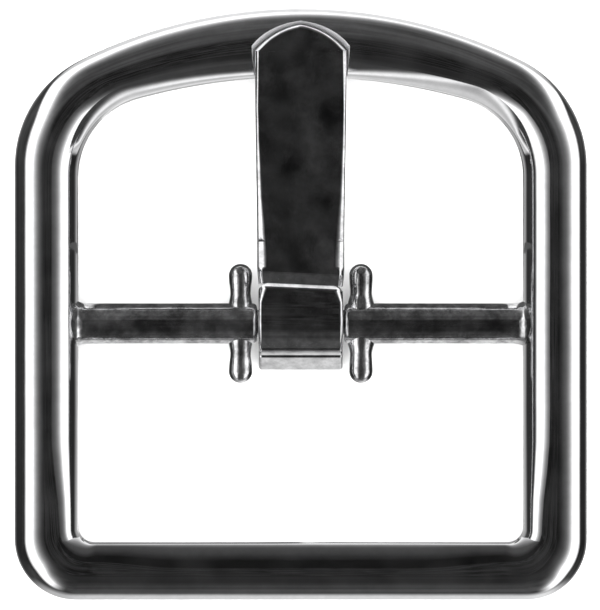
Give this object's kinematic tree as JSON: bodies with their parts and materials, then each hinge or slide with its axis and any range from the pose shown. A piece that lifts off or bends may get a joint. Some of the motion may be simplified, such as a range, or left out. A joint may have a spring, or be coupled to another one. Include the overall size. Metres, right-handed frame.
{
  "type": "belt buckle",
  "caption": "Centre-bar belt buckle with an arched top rail, a pointed tongue seated in it and a bar with stop lugs.",
  "frame": {"origin": "middle of the frame's outline, on the plane of its flat back", "axes": "+X along the centre bar, +Y from the straight bottom rail towards the arched top rail and the tongue's tip, +Z out of the front face"},
  "size_m": [0.046, 0.0474, 0.0052],
  "materials": {
    "frame_plating": "bright polished plating",
    "bar_plating": "bright plating over a less finely polished casting",
    "tongue_plating": "bright polished plating"
  },
  "bodies": {
    "frame": {"frame": "frame_plating", "centre_bar": "bar_plating"},
    "tongue": {"tongue": "tongue_plating"}
  },
  "joints": [
    {"name": "tongue_hinge", "type": "hinge", "parent": "frame", "child": "tongue", "pos_m": [0, -0.00155, 0.00217], "axis": [1, 0, 0], "range_deg": [0, 162]}
  ]
}
